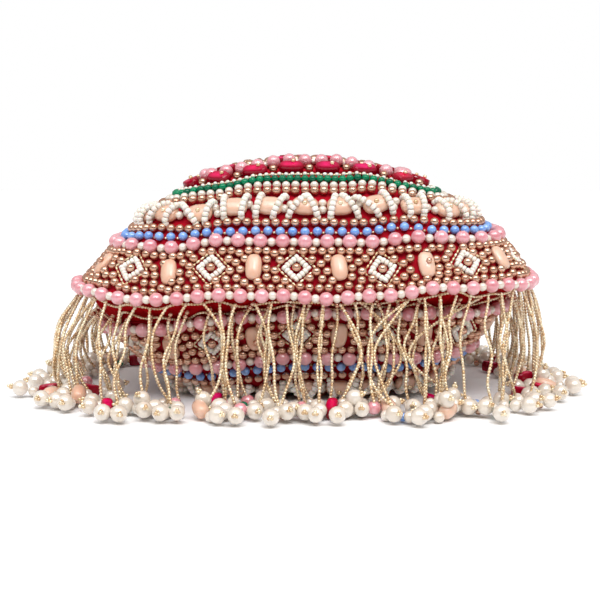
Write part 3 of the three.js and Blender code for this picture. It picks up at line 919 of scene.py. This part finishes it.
# Opaque cornflower blue glass, its gloss a little worn.
blue_glass = bead_finish(
    "cornflower glass",
    "#5a8fdf",
    "#86b4f0",
    {
        "Roughness": 0.3,
        "Subsurface Weight": 0.1,
        "Subsurface Scale": 0.8 * MM,
        "Coat Weight": 1.0,
        "Coat IOR": 1.7,
        "Coat Roughness": 0.05,
    },
)
blue_line = {"wave": RING_WAVE, "seed": 42}
blues = rows(BLUE_DISTANCE, BLUE_PITCH, BLUE_BEAD, **blue_line)
gaps = rows(BLUE_DISTANCE, BLUE_PITCH, GAP_SEED, shift=0.5, **blue_line)
lines = rows(LINE_DISTANCE, LINE_PITCH, LINE_BEAD, wave=LINE_WAVE, seed=43, stray=LINE_STRAY)
sew("blue_beads", small_round, blues, blue_glass)
sew("gap_seed_beads", fine_seed, gaps, gilt_glass_painted_glints)
sew("champagne_lines", small_round, lines, champagne)

# Looped ovals: peach ovals sewn end to end round each panel, each held by two arched loops of chalk white
# seed beads, with a pair of small pearls in the gap between one oval and the next.
LOOP_DISTANCE = 48.8 * MM
LOOP_PITCH = 17.4 * MM
LOOP_OVAL = np.array([13.2, 10.6, 6.6]) * MM
LOOP_BEADS = 8
LOOP_HALF = 6.6 * MM
LOOP_HEIGHT = 6.0 * MM
LOOP_ROOT = 0.3 * MM
LOOP_ROUND = 0.8
LOOP_ENDS = (0.06, 0.94)
LOOP_APART = 4.4 * MM
LOOP_SEED = np.array([2.4, 3.5, 3.4]) * MM
LOOP_STRAY = 1.8 * MM
LOOP_SLANT = (-0.7, 0.8)
LOOP_LEAN = math.radians(9)
LOOP_OVAL_HEIGHT = 2.5 * MM
LOOP_STUDDED = 0.85
LOOP_STUD = GAP_SEED * 1.7
LOOP_STUD_AT = (0, -0.6 * MM, 5.8 * MM)
PAIR_PEARL = 4.4 * MM
PAIR_LEAN = 1.1
PAIR = [(0, -2.1 * MM, 1.9 * MM), (0, 2.1 * MM, 1.9 * MM)]


def loop(side, slant):
    """An arch of seed beads over an oval: its points and threads."""
    turn = np.linspace(*LOOP_ENDS, LOOP_BEADS) * TAU / 2
    across = LOOP_HALF * np.cos(turn)
    height = LOOP_HEIGHT * np.sin(turn) ** LOOP_ROUND + LOOP_ROOT
    points = np.stack([side + slant * across, across, height], axis=-1)
    return points, unit(np.gradient(points, axis=0))


loop_ovals = []
loops = []
pairs = []
loop_studs = []
for panel in PANELS:
    angles = panel.spaced(LOOP_DISTANCE, LOOP_PITCH)
    at = panel.place(angles, LOOP_DISTANCE)
    leans = leaning(len(angles), LOOP_LEAN, 71)
    loop_ovals.append(laid_out(at, [(0, 0, LOOP_OVAL_HEIGHT)], [(1, 0, 0)], LOOP_OVAL, leans))
    draw = np.random.default_rng(72)
    for number in range(len(angles)):
        one = chosen(at, [number])
        for side in (-1, 1):
            aside = side * LOOP_APART + draw.uniform(-LOOP_STRAY, LOOP_STRAY)
            bend = loop(aside, side * draw.uniform(*LOOP_SLANT))
            loops.append(laid_out(one, *bend, LOOP_SEED, leans[[number]]))
    studded = draw.random(len(angles)) < LOOP_STUDDED
    held_down = chosen(at, studded)
    loop_studs.append(laid_out(held_down, [LOOP_STUD_AT], [(1, 0, 0)], LOOP_STUD, leans[studded]))
    between = panel.place(panel.spaced(LOOP_DISTANCE, LOOP_PITCH, 0.5), LOOP_DISTANCE)
    turns = leaning(len(angles), PAIR_LEAN, 73)
    pairs.append(laid_out(between, PAIR, [(1, 0, 0)] * 2, PAIR_PEARL, turns))
sew("loop_ovals", tumbled_oval, loop_ovals, peach_agate)
sew("loop_seed_beads", seed_bead, loops, chalk_glass)
sew("loop_studs", small_round, loop_studs, gilt_glass_painted_glints)
sew("pair_pearls", small_round, pairs, pearl)

# Upper lines of the front panel: champagne beads, pearls, a tight string of emerald glass, and a fine line
# of white and gilt seed beads beside it, each couched down. The back panel has the first two of them.
UPPER_CHAMPAGNE = 59.2 * MM
UPPER_PEARLS = 63.4 * MM
UPPER_PEARL = 4.3 * MM
EMERALD_DISTANCE = 67.7 * MM
EMERALD_BEAD = 4.1 * MM
EMERALD_PITCH = 3.85 * MM
EMERALD_LIFT = 0.5 * MM
TRIM_DISTANCE = 70.6 * MM
TRIM_WHITE = 2.1 * MM
TRIM_GILT = 1.4 * MM
TRIM_PITCH = 3.3 * MM
TRIM_LIFT = 2.2 * MM
TRIM_STRAY = 0.3 * MM
DARK_GLASS = {"Roughness": 0.3, "Specular IOR Level": 0.0, "Coat IOR": 1.6, "Coat Roughness": 0.02}

# Dark green glass, nearly clear: deep in its shade, with one small sharp highlight on each bead.
emerald_glass = bead_finish("emerald glass", "#00523a", "#00885a", {**DARK_GLASS, "Coat Weight": 0.5})
emerald_round = turned_bead("emerald bead", round_profile(6, 0.14), 9)
uppers = rows(UPPER_CHAMPAGNE, LINE_PITCH, LINE_BEAD, seed=44, stray=LINE_STRAY)
upper_pearls = rows(UPPER_PEARLS, LINE_PITCH, UPPER_PEARL, seed=45, stray=LINE_STRAY)
emeralds = row(front, EMERALD_DISTANCE, EMERALD_PITCH, EMERALD_BEAD, lift=EMERALD_LIFT)
trims = [
    row(front, TRIM_DISTANCE, TRIM_PITCH, size, shift=shift, lift=TRIM_LIFT, stray=TRIM_STRAY, seed=48)
    for shift, size in ((0, TRIM_WHITE), (0.5, TRIM_GILT))
]
sew("upper_champagne_beads", small_round, uppers, champagne)
sew("upper_pearls", small_round, upper_pearls, pearl)
sew("emerald_beads", emerald_round, [emeralds], emerald_glass)
sew("trim_white_beads", fine_seed, trims[:1], chalk_glass)
sew("trim_gilt_beads", fine_seed, trims[1:], gilt_glass_painted_glints)

# Ruby stones: long foiled glass stones with a bevelled table, set end to end in a ring near the top of the
# front panel with a champagne bead in each gap. Inside them the medallion is filled with rose beads, small
# rubies and seed beads; the middle can't be seen in the photograph and is plain.
STONE_COUNT = 18
STONE_DISTANCE = 77 * MM
STONE_SIZE = np.array([12.8, 7.6, 5.4]) * MM
STONE_HEIGHT = 2.9 * MM
STONE_LAYERS = [(-0.5, 0.9), (-0.05, 1.0), (0.2, 1.0), (0.38, 0.93), (0.46, 0.84), (0.46, 0.3)]
STONE_SIDES = 20
STONE_SQUARENESS = 2.8
STONE_SHIFT = 0.62
STONE_LEAN = math.radians(4)
STONE_BEAD = 4.5 * MM
STONE_STUD = GAP_SEED * 1.5
STONE_STUD_AT = (2.2 * MM, 0.8 * MM, 6.0 * MM)
INNER_DISTANCE = 86 * MM
INNER_ROSE = 7.2 * MM
INNER_ROSE_PITCH = 8.4 * MM
INNER_PITCH = 5.0 * MM
INNER_SHRINKS = (0.72, 0.6)
INNER_RUBY = 5 * MM
INNER_PEARL = 3.8 * MM
INNER_RUBY_PITCH = 13 * MM
INNER_RUBY_SHRINK = 0.85
MIDDLE_RUBY = 4.4 * MM
MIDDLE_SEED = 3.0 * MM
# How fast the rubies' painted glow brightens their colour from the rim inwards
PAINTED_GLOW_GAIN = 2.2


def cut_stone(name, layers, sides, squareness):
    """A stone of size 1 with a rounded oblong plan, built up in layers of height and plan size."""
    angles = np.linspace(0, TAU, sides, endpoint=False) + TAU / sides / 2
    x = np.cos(angles)
    y = np.sin(angles)
    plan = (np.abs(x) ** squareness + np.abs(y) ** squareness) ** (-1 / squareness)
    rings = [np.stack([s * plan * x / 2, s * plan * y / 2, np.full(sides, z)], axis=-1) for z, s in layers]
    mesh = skin(name, np.array(rings))
    mesh.shade_flat()
    # How far in from the rim each ring lies; the rubies' painted glow reads it
    depth = mesh.attributes.new("depth", "FLOAT", "POINT")
    depth.data.foreach_set("value", np.repeat([1 - s for z, s in layers], sides))
    return bpy.data.objects.new(name, mesh)


def ruby_glass():
    """Foiled ruby glass, cast: its colour is painted dark at the rim and magenta towards the middle, a
    painted glow for the light that the foil throws back.
    """
    ruby, tree, shader = shaded("foiled ruby glass", {**DARK_GLASS, "Coat Weight": 0.4})
    depth = add(tree, "ShaderNodeAttribute", attribute_name="depth")
    tone = add(tree, "ShaderNodeAttribute", attribute_name="tone")
    place = add(tree, "ShaderNodeTexCoord")
    crinkle = {"Vector": place.outputs["Object"], "Scale": 1 / (4 * MM), "Detail": 2}
    foil = add(tree, "ShaderNodeTexNoise", crinkle)
    # Painted glow: the colour brightens with depth in from the rim, crinkled by noise, in place of light
    # off the foil
    painted_glow = add(tree, "ShaderNodeMath", {0: depth.outputs["Fac"], 1: PAINTED_GLOW_GAIN}, operation="MULTIPLY")
    lit = {0: painted_glow.outputs[0], 1: foil.outputs["Fac"]}
    shade = add(tree, "ShaderNodeMath", lit, operation="MULTIPLY", use_clamp=True)
    tints = {0: tone.outputs["Fac"], 6: linear("#d20c2e"), 7: linear("#ee1274")}
    light = add(tree, "ShaderNodeMix", tints, data_type="RGBA")
    tones = {0: shade.outputs[0], 6: linear("#8c021c"), 7: light.outputs[2]}
    colour = add(tree, "ShaderNodeMix", tones, data_type="RGBA")
    tree.links.new(colour.outputs[2], shader.inputs["Base Color"])
    return ruby


ruby = ruby_glass()
oblong_stone = cut_stone("oblong stone", STONE_LAYERS, STONE_SIDES, STONE_SQUARENESS)
stone_angles = front.spaced(STONE_DISTANCE, None, STONE_SHIFT, count=STONE_COUNT)
at = front.place(stone_angles, STONE_DISTANCE)
stone_leans = leaning(STONE_COUNT, STONE_LEAN, 81)
stones = laid_out(at, [(0, 0, STONE_HEIGHT)], [(1, 0, 0)], STONE_SIZE, stone_leans)
stone_nodes = [f"red_stone_{i:02d}" for i in range(1, STONE_COUNT + 1)]
sew("ruby_stones", oblong_stone, [stones], ruby, stone_nodes)
gap_angles = front.spaced(STONE_DISTANCE, None, STONE_SHIFT + 0.5, count=STONE_COUNT)
between = front.place(gap_angles, STONE_DISTANCE)
stone_beads = seated(between, STONE_BEAD, lift=0.6 * MM, stray=0.4 * MM, seed=82)
stud_turns = leaning(STONE_COUNT, 1.0, 83)
stone_studs = laid_out(at, [STONE_STUD_AT], [(1, 0, 0)], STONE_STUD, stud_turns)
inner_roses = row(front, INNER_DISTANCE, INNER_ROSE_PITCH, INNER_ROSE, wave=0.8 * MM, seed=84)
inner_champagne = [
    row(front, INNER_DISTANCE, INNER_PITCH, LINE_BEAD, shrink=shrink, stray=0.3 * MM, seed=85)
    for shrink in INNER_SHRINKS
]
inner_rubies = [
    row(front, INNER_DISTANCE, INNER_RUBY_PITCH, INNER_RUBY, shrink=INNER_RUBY_SHRINK),
    seated(front.oval(0.1, 9.5 * MM), MIDDLE_RUBY),
]
inner_pearls = [
    row(front, INNER_DISTANCE, INNER_RUBY_PITCH, INNER_PEARL, shift=shift, shrink=INNER_RUBY_SHRINK)
    for shift in (0.35, 0.65)
]
inner_seeds = [
    seated(front.oval(share, 3.6 * MM), MIDDLE_SEED, stray=0.2 * MM, seed=86) for share in (0.06, 0.025)
]
sew("medallion_rose_beads", large_round, [inner_roses], rose_glass)
sew("medallion_champagne", small_round, [stone_beads, *inner_champagne], champagne)
sew("medallion_studs", small_round, [stone_studs], gilt_glass_painted_glints)
sew("medallion_rubies", oblong_stone, inner_rubies, ruby)
sew("medallion_pearls", small_round, inner_pearls, pearl)
sew("medallion_seed_beads", seed_bead, inner_seeds, chalk_glass)

# Base of the back panel: lines of champagne beads on the flat cloth that the bag lies on.
# They can't be seen from in front, and are plain.
BASE_SHRINKS = (0.82, 0.66, 0.5, 0.34, 0.18)
BASE_PITCH = 6 * MM
base_lines = [
    row(back, UPPER_PEARLS, BASE_PITCH, FIELD_BEAD, shrink=shrink, stray=0.4 * MM, seed=87)
    for shrink in BASE_SHRINKS
]
sew("base_beads", small_round, base_lines, champagne)

# Seam garlands: two strings of gilt seed beads that hang along the gusset, one close under the front
# panel's edge and one just above the back panel's string, caught down here and there.
GARLAND_SEED = 1.5 * MM
GARLAND_PITCH = 1.5 * MM
GARLAND_STAND = 2.2 * MM
GARLAND_SWAY = 0.5 * MM
GARLAND_WAVES = (13, 17)
GARLAND_SHARES = np.linspace(0.004, 0.996, 700)
# Place across the seam, swing up and down it, and seed of each garland
GARLANDS = ((0.82, 0.14, 91), (0.26, 0.2, 92))
# A direction that no thread runs along
ASLANT = (0.31, 0.29, 0.9)


def strung(points, pitch, size, skip=0.0):
    """Beads a pitch apart along a line of points, threaded along it."""
    walked = paced(points)
    at = np.arange(skip, walked[-1], pitch)
    middle = np.stack([np.interp(at, walked, points[:, axis]) for axis in range(3)], axis=-1)
    thread = unit(np.gradient(middle, axis=0))
    up = unit(np.cross(thread, ASLANT))
    return Beads(middle, thread, up, np.full(middle.shape, size))


garlands = []
for across, swing, seed in GARLANDS:
    level = across + swing * wander(GARLAND_SHARES * GARLAND_WAVES[0], seed)
    point, away = seam(GARLAND_SHARES, level[:, None])
    stand = GARLAND_STAND + GARLAND_SWAY * wander(GARLAND_SHARES * GARLAND_WAVES[1], seed + 5)
    garlands.append(strung(point + away * stand[:, None], GARLAND_PITCH, GARLAND_SEED))
sew("seam_garlands", fine_seed, garlands, gilt_glass_painted_glints)

# Fringe: strands of gilt seed beads that hang to the ground, an outer row sewn in the gaps of the front
# string and an inner row to the lower garland. Some are doubled. They drift together in bunches and cross,
# and their feet lie nearer to the bag or farther out by turns.
FRINGE_SEED = 1.7 * MM
FRINGE_PITCH = 1.6 * MM
OUTER_STRANDS = 64
INNER_STRANDS = 46
DOUBLED_SHARE = 0.4
FOOT_HEIGHT = 5 * MM
LEFT_SPLAY = 13.5 * MM
RIGHT_SPLAY = 4 * MM
FOOT_TURN = 0.618
FOOT_PULL = 0.25
BUNCH_ODDS = 0.42
WAIST_PULL = (0.2, 1.1)
RIPPLE_WAVES = (0.9, 1.8)
SWAY_WAVES = 1.4
KICK_POWER = 2.4
SPLAY_TURN = 2.4
JUT_SHARE = 0.07
ROOT_STRAY = 0.12
SPLAY_POWER = 5
SIDE_TUCK = 0.8
STRAND_STEPS = 140
NECK_STEPS = 14
NECK_BEAD = 2.5 * MM

# Ranges in millimetres that the strands stray by
BUNCH_DRIFT = (-9, 3)
FOOT_STRAY = (-4, 5)
FOOT_RISE = (-2, 2.5)
RIPPLE = (0.6, 2.0)
SWAY = (0.3, 1.2)


def hanging(panel, count, shift, root, jut, belly, foot, seed):
    """Lines of strands from a panel's edge to the ground, drawn together in bunches on the way down.

    The root is out and up from the edge. Jut, belly and foot are how far out a strand swings below it.
    """
    draw = np.random.default_rng(seed)
    length = edge_length(panel, 0)
    starts = (np.arange(count) + shift + draw.uniform(-ROOT_STRAY, ROOT_STRAY, count)) / count * length
    bunch = np.cumsum(draw.random(count) < BUNCH_ODDS)
    drift = draw.uniform(*BUNCH_DRIFT, bunch[-1] + 1) * MM
    middles = np.array([starts[bunch == b].mean() + drift[b] for b in bunch])
    fall = np.linspace(0, 1, STRAND_STEPS)
    bow = np.sin(fall * TAU / 2)
    strands = []
    for number, (start, middle) in enumerate(zip(starts, middles)):
        side = edge_line(panel, [start / length]).point[0, 0] / panel.half_width
        splay = (LEFT_SPLAY if side < 0 else RIGHT_SPLAY) * abs(side) ** SPLAY_POWER
        kick = (foot[0] + (foot[1] - foot[0]) * (number * FOOT_TURN % 1)) * (1 - SIDE_TUCK * side**4)
        end = start + FOOT_PULL * (middle - start) + draw.uniform(*FOOT_STRAY) * MM
        height = FOOT_HEIGHT + draw.uniform(*FOOT_RISE) * MM
        twins = []
        for _ in range(2 if draw.random() < DOUBLED_SHARE else 1):
            waist = start + (middle - start) * draw.uniform(*WAIST_PULL)
            along = start * 2 * (fall - 0.5) * (fall - 1) + waist * 4 * fall * (1 - fall)
            along += end * 2 * fall * (fall - 0.5)
            ripple = np.sin(TAU * (draw.uniform(*RIPPLE_WAVES) * fall + draw.random()))
            along += draw.uniform(*RIPPLE) * MM * ripple * bow
            out = root[0] + jut * (1 - np.exp(-fall / JUT_SHARE)) + draw.uniform(*belly) * bow
            out += kick * fall**KICK_POWER + splay * np.sin(SPLAY_TURN * fall)
            out += draw.uniform(*SWAY) * MM * np.sin(TAU * (SWAY_WAVES * fall + draw.random())) * bow
            edge = edge_line(panel, np.clip(along / length, 0, 1))
            line = edge.point + edge.out * out[:, None]
            top = edge.point[0, 2] + root[1]
            line[:, 2] = top + (height - top) * fall
            twins.append(line)
        strands.append(twins)
    return strands


outer_row = hanging(
    front,
    OUTER_STRANDS,
    shift=0.98,
    root=(2.6 * MM, -3 * MM),
    jut=0,
    belly=(-1 * MM, 4 * MM),
    foot=(-2 * MM, 14 * MM),
    seed=101,
)
inner_row = hanging(
    back,
    INNER_STRANDS,
    shift=0.5,
    root=(5.6 * MM, 5 * MM),
    jut=2.6 * MM,
    belly=(0, 4 * MM),
    foot=(-7 * MM, 7 * MM),
    seed=102,
)
for name, strands, replaced in (("outer", outer_row, ["fringe"]), ("inner", inner_row, [])):
    lines = [line for twins in strands for line in twins]
    seeds = [strung(line, FRINGE_PITCH, FRINGE_SEED, FRINGE_PITCH / 2) for line in lines]
    sew(f"{name}_strands", fine_seed, seeds, gilt_glass_painted_glints, replaced)
outer_lines = [twins[0] for twins in outer_row]
inner_lines = [twins[0] for twins in inner_row]
necks = [strung(line[:NECK_STEPS], NECK_BEAD, NECK_BEAD, NECK_BEAD / 2) for line in inner_lines]
necks = [Beads(*(part[:2] for part in neck)) for neck in necks]
sew("neck_beads", small_round, necks, champagne)

# Drop chains: each strand ends in a short chain of glass pearls and coloured beads, strung on the strand's
# own thread and locked by a knot of gilt seed beads. The chains lie on the ground, most of them pointing
# outwards and a few under the bag, and their beads push each other and keep clear of the back panel.
SETTLE_STEPS = 90
SETTLE_PASSES = 3
SETTLE_FALL = 0.25 * MM
SETTLE_PUSH = 0.35
GROUND_GAP = 3 * MM
CHAIN_GAP = 0.4 * MM
CHAIN_SPREAD = 0.75
TUCKED_SHARE = 0.06
FRONT_TURN = (1, 0.45)
MOUTH_TURN = (0.2, 1)
SKYWARD = np.array([0.05, 0.02, 1.0])
KNOT_SEED = 1.8 * MM
KNOT_ROUND = 0.9 * MM
KNOT_GAP = 0.5 * MM
KNOT_TIP = 1.4 * MM
KNOT_LOW = 1.1 * MM
KINDS = {
    "pearl": (large_round, pearl, "pearl"),
    "rose": (large_round, rose_glass, "pink_bead"),
    "green": (emerald_round, emerald_glass, "green_bead"),
    "blue": (small_round, blue_glass, "blue_bead"),
    "champagne": (small_round, champagne, "champagne_bead"),
    "peach": (tumbled_oval, peach_agate, "peach_stone"),
    "ruby": (oblong_stone, ruby, "ruby_stone"),
}

# Beads of each kind of chain from the strand outwards, with their length and width in millimetres
CHAINS = (
    (("pearl", 5, 5), ("green", 4.4, 4.4), ("pearl", 5.8, 5.8), ("pearl", 8.3, 8.3)),
    (("rose", 7, 7), ("pearl", 5.6, 5.6), ("pearl", 8.3, 8.3)),
    (("pearl", 6, 6), ("champagne", 3.6, 3.6), ("pearl", 8.3, 8.3)),
    (("ruby", 11.5, 6), ("pearl", 5.4, 5.4), ("pearl", 8.3, 8.3)),
    (("pearl", 5.2, 5.2), ("pearl", 6.2, 6.2), ("pearl", 8.3, 8.3)),
    (("peach", 11.5, 7.6), ("pearl", 5.4, 5.4), ("pearl", 8.3, 8.3)),
    (("pearl", 5.4, 5.4), ("blue", 4.4, 4.4), ("pearl", 5.8, 5.8), ("pearl", 8.3, 8.3)),
    (("pearl", 7, 7), ("champagne", 3.4, 3.4), ("pearl", 7.6, 7.6)),
)
CHAIN_ODDS = (0.12, 0.14, 0.17, 0.1, 0.2, 0.08, 0.1, 0.09)


def bowl_reach(points):
    """How far out the back panel's beads come, in the direction and at the height of each point."""
    angle = np.arctan2(points[:, 1], points[:, 0])
    height = np.clip((points[:, 2] - back.middle) / (back.edge_height(angle) - back.middle), 0, 1)
    share = BASE_SHARE + (1 - BASE_SHARE) * height ** (1 / BOWL_POWER)
    return back.outline(angle) * share + GROUND_GAP


def settle(middles, radii, halves, links, anchors):
    """Lets chains of beads down on the ground: they keep their length, and push each other aside."""
    reach = radii[:, None] + radii[None]
    np.fill_diagonal(reach, 0)
    first, second = links.T
    span = halves[first] + halves[second]
    held, holders, hold = anchors
    for _ in range(SETTLE_STEPS):
        middles[:, 2] -= SETTLE_FALL
        for _ in range(SETTLE_PASSES):
            gap = middles[:, None] - middles[None]
            apart_by = np.linalg.norm(gap, axis=-1) + 1e-9
            push = np.maximum(reach - apart_by, 0) / apart_by * SETTLE_PUSH
            middles += (gap * push[..., None]).sum(axis=1)
            pull = middles[second] - middles[first]
            long = np.linalg.norm(pull, axis=1, keepdims=True)
            step = pull * (1 - span[:, None] / long) / 2
            np.add.at(middles, first, step)
            np.add.at(middles, second, -step)
            lead = middles[held] - holders
            middles[held] = holders + unit(lead) * hold[:, None]
            inside = np.maximum(bowl_reach(middles) + radii - np.hypot(middles[:, 0], middles[:, 1]), 0)
            middles[:, :2] += unit(middles[:, :2]) * inside[:, None]
            middles[:, 2] = np.maximum(middles[:, 2], radii)
    return middles


def chain_way(line, tucked, draw):
    """The way that a strand's chain points at first."""
    reach_out = line[0] + line[-1]
    turned_out = FRONT_TURN if reach_out[1] < 0 else MOUTH_TURN
    heading = math.atan2(reach_out[1] * turned_out[0], reach_out[0] * turned_out[1])
    heading += draw.normal(0, CHAIN_SPREAD)
    if draw.random() < tucked:
        heading += TAU / 2
    return np.array([math.cos(heading), math.sin(heading), 0])


def above_ground(middle, least):
    """Lifts places to a least height."""
    middle[:, 2] = np.maximum(middle[:, 2], least)
    return middle


draw = np.random.default_rng(111)
chain_beads = []
chain_middles = []
links = []
held = []
holders = []
hung = [(line, 0) for line in outer_lines] + [(line, TUCKED_SHARE) for line in inner_lines]
for line, tucked in hung:
    chain = CHAINS[draw.choice(len(CHAINS), p=CHAIN_ODDS)]
    way = chain_way(line, tucked, draw)
    at = line[-1]
    held.append(len(chain_beads))
    holders.append(at)
    for number, (kind, long, wide) in enumerate(chain):
        at = at + way * long / 2 * MM
        if number:
            links.append((len(chain_beads) - 1, len(chain_beads)))
        chain_beads.append((kind, long * MM, wide * MM))
        chain_middles.append(at + np.array([0, 0, draw.uniform(0, 2) * MM]))
        at = at + way * long / 2 * MM
held = np.array(held)
holders = np.array(holders)
ends = np.append(held[1:], len(chain_beads)) - 1
sizes = np.array([(long, wide, wide) for _, long, wide in chain_beads])
halves = sizes[:, 0] / 2
radii = sizes[:, 1] / 2
anchors = (held, holders, halves[held] + CHAIN_GAP)
settled = settle(np.array(chain_middles), radii, halves, np.array(links), anchors)
before = np.roll(settled, 1, axis=0)
before[held] = holders
after = np.roll(settled, -1, axis=0)
after[ends] = settled[ends]
threads = unit(after - before)
ups = unit(SKYWARD - threads * (threads @ SKYWARD)[:, None])
half_heights = halves * np.abs(threads[:, 2]) + radii * np.abs(ups[:, 2])
settled = above_ground(settled, half_heights + GROUND_ROOM)
for kind, (bead, finish, slot) in KINDS.items():
    mine = np.array([one == kind for one, _, _ in chain_beads])
    places = Beads(settled[mine], threads[mine], ups[mine], sizes[mine])
    sew(f"drop_{kind}_beads", bead, [places], finish)

end_threads = threads[ends]
end_ups = ups[ends]
end_sides = np.cross(end_threads, end_ups)
tips = settled[ends] + end_threads * (halves[ends] + KNOT_GAP)[:, None]
offsets = [
    (end_ups * math.cos(turn) + end_sides * math.sin(turn)) * KNOT_ROUND
    for turn in (0, TAU / 3, 2 * TAU / 3)
]
knots = []
for offset in (*offsets, end_threads * KNOT_TIP):
    middle = above_ground(tips + offset, KNOT_LOW)
    knots.append(Beads(middle, end_threads, end_ups, np.full(middle.shape, KNOT_SEED)))
sew("drop_knots", fine_seed, knots, gilt_glass_painted_glints)
